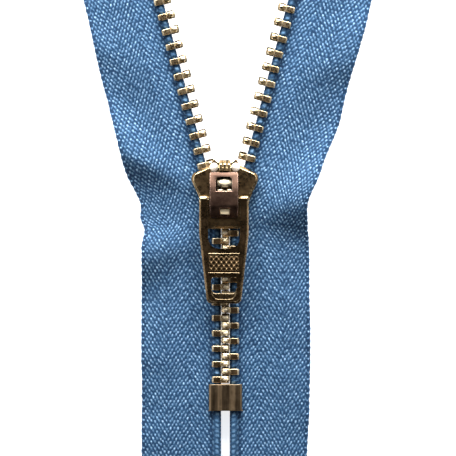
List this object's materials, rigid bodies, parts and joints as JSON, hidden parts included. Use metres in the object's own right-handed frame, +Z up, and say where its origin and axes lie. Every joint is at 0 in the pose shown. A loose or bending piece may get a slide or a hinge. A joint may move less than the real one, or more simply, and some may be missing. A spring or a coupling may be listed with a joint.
{
  "type": "zipper",
  "caption": "Metal-tooth garment zipper lying flat and half open, with an automatic-lock slider, hinged pull tab, woven tapes and clamped stops.",
  "frame": {"origin": "centre of the zipper's bounding box in X and Y, at the height of the table it lies on", "axes": "+X across the chain to the right, +Y along the closed chain towards the open end, +Z up out of the face that shows the pull tab"},
  "size_m": [0.0712, 0.1294, 0.0075],
  "materials": {
    "tape": "woven twill, matt",
    "cord": "soft beaded edge",
    "teeth": "antique brass, polished tips",
    "stops": "antique brass, brushed",
    "slider": "antique brass, polished edges",
    "cap": "dark coppery plate",
    "lever": "bright gold plate",
    "tab": "antique brass, polished edges"
  },
  "bodies": {
    "chain_base": {"left_tape_lower": "tape", "left_cord_lower": "cord", "left_teeth_lower": "teeth", "right_tape_lower": "tape", "right_cord_lower": "cord", "right_teeth_lower": "teeth", "bottom_stop": "stops"},
    "left_stringer": {"left_tape_upper": "tape", "left_cord_upper": "cord", "left_teeth_upper": "teeth"},
    "left_top_end": {"left_tape_top": "tape", "left_cord_top": "cord", "left_teeth_top": "teeth", "left_top_stop": "stops"},
    "right_stringer": {"right_tape_upper": "tape", "right_cord_upper": "cord", "right_teeth_upper": "teeth"},
    "right_top_end": {"right_tape_top": "tape", "right_cord_top": "cord", "right_teeth_top": "teeth", "right_top_stop": "stops"},
    "slider": {"slider_body": "slider", "slider_cap": "cap"},
    "lock_lever": {"lock_lever": "lever"},
    "pull_tab": {"pull_tab": "tab"}
  },
  "joints": [
    {"name": "slider_travel", "type": "slide", "parent": "chain_base", "child": "slider", "axis": [0, 1, 0], "range_m": [0, 0.05233], "deforming": ["left_tape_upper", "left_tape_top", "left_cord_upper", "left_cord_top", "left_teeth_upper", "left_teeth_top", "right_tape_upper", "right_tape_top", "right_cord_upper", "right_cord_top", "right_teeth_upper", "right_teeth_top"]},
    {"name": "left_stringer_close", "type": "hinge", "parent": "chain_base", "child": "left_stringer", "pos_m": [-0.00158, -0.01495, 0.00225], "axis": [0, 0, -1], "range_deg": [0, 14.8]},
    {"name": "right_stringer_close", "type": "hinge", "parent": "chain_base", "child": "right_stringer", "pos_m": [0.00158, -0.01495, 0.00225], "axis": [0, 0, 1], "range_deg": [0, 14.8]},
    {"name": "left_top_spread", "type": "hinge", "parent": "left_stringer", "child": "left_top_end", "pos_m": [-0.01495, 0.03564, 0.00225], "axis": [0, 0, 1], "range_deg": [0, 14.8]},
    {"name": "right_top_spread", "type": "hinge", "parent": "right_stringer", "child": "right_top_end", "pos_m": [0.01495, 0.03564, 0.00225], "axis": [0, 0, -1], "range_deg": [0, 14.8]},
    {"name": "pull_tab_swing", "type": "hinge", "parent": "slider", "child": "pull_tab", "pos_m": [-0.00026, -0.011, 0.00532], "axis": [-1, 0, 0], "range_deg": [0, 175]},
    {"name": "lock_lever_lift", "type": "hinge", "parent": "slider", "child": "lock_lever", "pos_m": [-0.0001, -0.00715, 0.00525], "axis": [-1, 0, 0], "range_deg": [0, 9.5]}
  ],
  "couplings": [
    {"joint": "left_stringer_close", "follows": "slider_travel", "rad_per_m": 4.9365},
    {"joint": "right_stringer_close", "follows": "slider_travel", "rad_per_m": 4.9365},
    {"joint": "left_top_spread", "follows": "slider_travel", "rad_per_m": 4.9365},
    {"joint": "right_top_spread", "follows": "slider_travel", "rad_per_m": 4.9365},
    {"joint": "lock_lever_lift", "follows": "pull_tab_swing", "ratio": 0.0542}
  ]
}
